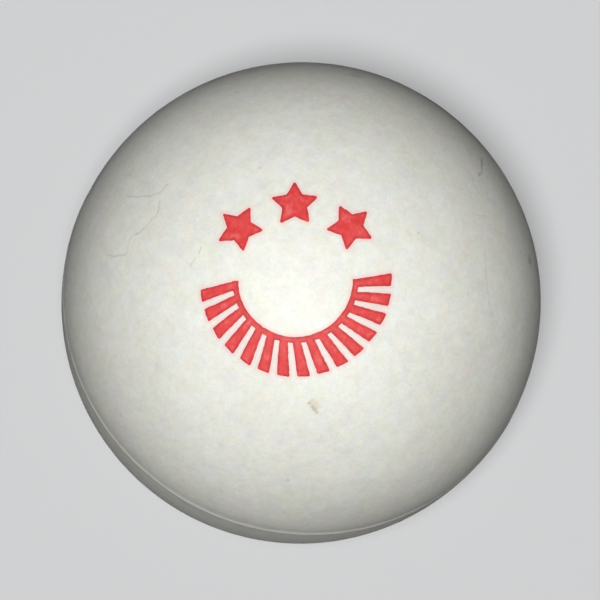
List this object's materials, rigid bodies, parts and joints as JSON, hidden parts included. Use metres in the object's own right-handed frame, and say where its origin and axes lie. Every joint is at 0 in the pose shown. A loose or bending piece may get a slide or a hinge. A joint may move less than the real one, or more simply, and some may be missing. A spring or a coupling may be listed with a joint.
{
  "type": "table tennis ball",
  "caption": "Hollow celluloid table tennis ball: lapped half shells cemented at an equatorial seam, with a red printed ring of stars and ticks.",
  "frame": {"origin": "centre of the ball", "axes": "+Z from the centre through the middle of the printed half shell, square to the seam plane, which is z = 0; the print leans from the +Z pole towards -Y"},
  "size_m": [0.038, 0.038, 0.038],
  "materials": {
    "celluloid_printed_half": "satin",
    "celluloid_plain_half": "satin",
    "seam_cement": "satin",
    "print_ink": "satin"
  },
  "bodies": {
    "root": {"upper_half_shell": "celluloid_printed_half", "lower_half_shell": "celluloid_plain_half", "seam_cement": "seam_cement", "print_star_left": "print_ink", "print_star_centre": "print_ink", "print_star_right": "print_ink", "print_tick_arc": "print_ink"}
  },
  "joints": []
}
